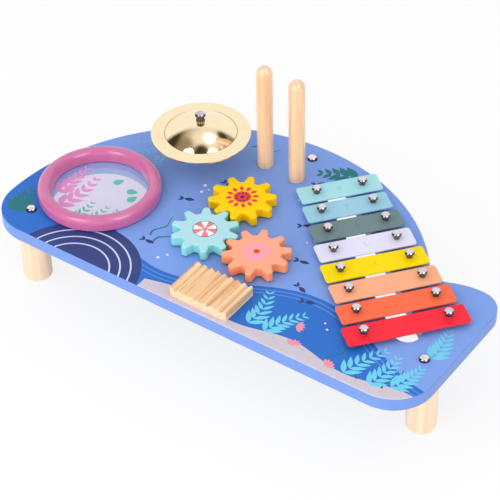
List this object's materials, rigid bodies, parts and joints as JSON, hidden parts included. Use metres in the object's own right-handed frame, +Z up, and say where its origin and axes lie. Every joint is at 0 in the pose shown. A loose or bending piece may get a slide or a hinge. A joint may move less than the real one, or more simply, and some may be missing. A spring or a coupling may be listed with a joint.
{
  "type": "musical activity table",
  "caption": "Low wooden play table for small children with a drum, a turning cymbal, meshed gears, chime bars, a ribbed scraper and lift-out beaters.",
  "frame": {"origin": "on the floor, under the middle of the table top's bounding box", "axes": "+X along the straight front edge to the right, +Y to the rounded back, +Z up"},
  "size_m": [0.482, 0.269, 0.1988],
  "materials": {
    "table_top": "painted wood with a printed face",
    "leg_wood": "clear-lacquered pale wood",
    "axle_wood": "plain wood dowel",
    "beater_wood": "clear-lacquered wood",
    "scraper_wood": "sanded wood",
    "insert_steel": "zinc-plated",
    "screw_steel": "zinc-plated",
    "screw_chrome": "polished",
    "drum_ring": "pink satin paint on wood",
    "drum_skin": "translucent printed film",
    "cymbal_brass": "polished",
    "felt": "wool felt",
    "nylon": "plain nylon",
    "collar_rubber": "soft translucent rubber",
    "yellow_paint": "yellow satin paint on wood",
    "teal_paint": "pale teal satin paint on wood",
    "orange_paint": "orange satin paint on wood",
    "bar_red": "enamelled",
    "bar_orange": "enamelled",
    "bar_peach": "enamelled",
    "bar_yellow": "enamelled",
    "bar_white": "enamelled",
    "bar_grey": "enamelled",
    "bar_blue": "enamelled",
    "bar_mint": "enamelled"
  },
  "bodies": {
    "table": {"table_top": "table_top", "front_left_leg": "leg_wood", "front_right_leg": "leg_wood", "back_leg": "leg_wood", "leg_inserts": "insert_steel", "leg_bolts": "screw_chrome", "drum_ring": "drum_ring", "drum_skin": "drum_skin", "drum_ring_screws": "screw_steel", "cymbal_post": "leg_wood", "cymbal_post_screw": "screw_steel", "cymbal_felt": "felt", "cymbal_washer": "nylon", "cymbal_screw": "screw_chrome", "gear_spacers": "nylon", "chime_bar_1": "bar_red", "chime_bar_2": "bar_orange", "chime_bar_3": "bar_peach", "chime_bar_4": "bar_yellow", "chime_bar_5": "bar_white", "chime_bar_6": "bar_grey", "chime_bar_7": "bar_blue", "chime_bar_8": "bar_mint", "chime_felts": "felt", "chime_collars": "collar_rubber", "chime_screws": "screw_chrome", "scraper": "scraper_wood", "scraper_screws": "screw_steel"},
    "cymbal": {"cymbal": "cymbal_brass"},
    "yellow_gear": {"yellow_gear": "yellow_paint", "yellow_gear_axle": "axle_wood", "yellow_gear_retainer": "screw_steel", "yellow_gear_screw": "screw_steel"},
    "teal_gear": {"teal_gear": "teal_paint", "teal_gear_axle": "axle_wood", "teal_gear_retainer": "screw_steel", "teal_gear_screw": "screw_steel"},
    "orange_gear": {"orange_gear": "orange_paint", "orange_gear_axle": "axle_wood", "orange_gear_retainer": "screw_steel", "orange_gear_screw": "screw_steel"},
    "left_beater": {"left_beater": "beater_wood"},
    "right_beater": {"right_beater": "beater_wood"}
  },
  "joints": [
    {"name": "teal_gear_spin", "type": "hinge", "parent": "table", "child": "teal_gear", "pos_m": [-0.0392, -0.0452, 0.0884], "axis": [0, 0, 1], "continuous": true},
    {"name": "yellow_gear_spin", "type": "hinge", "parent": "table", "child": "yellow_gear", "pos_m": [-0.03766, 0.01378, 0.0884], "axis": [0, 0, 1], "continuous": true},
    {"name": "orange_gear_spin", "type": "hinge", "parent": "table", "child": "orange_gear", "pos_m": [0.01979, -0.04427, 0.0884], "axis": [0, 0, 1], "continuous": true},
    {"name": "cymbal_spin", "type": "hinge", "parent": "table", "child": "cymbal", "pos_m": [-0.1173, 0.056, 0.1251], "axis": [0, 0, 1], "continuous": true},
    {"name": "left_beater_lift", "type": "slide", "parent": "table", "child": "left_beater", "axis": [0, 0, 1], "range_m": [0, 0.05]},
    {"name": "right_beater_lift", "type": "slide", "parent": "table", "child": "right_beater", "axis": [0, 0, 1], "range_m": [0, 0.05]}
  ],
  "couplings": [
    {"joint": "yellow_gear_spin", "follows": "teal_gear_spin", "ratio": -1},
    {"joint": "orange_gear_spin", "follows": "teal_gear_spin", "ratio": -1}
  ]
}
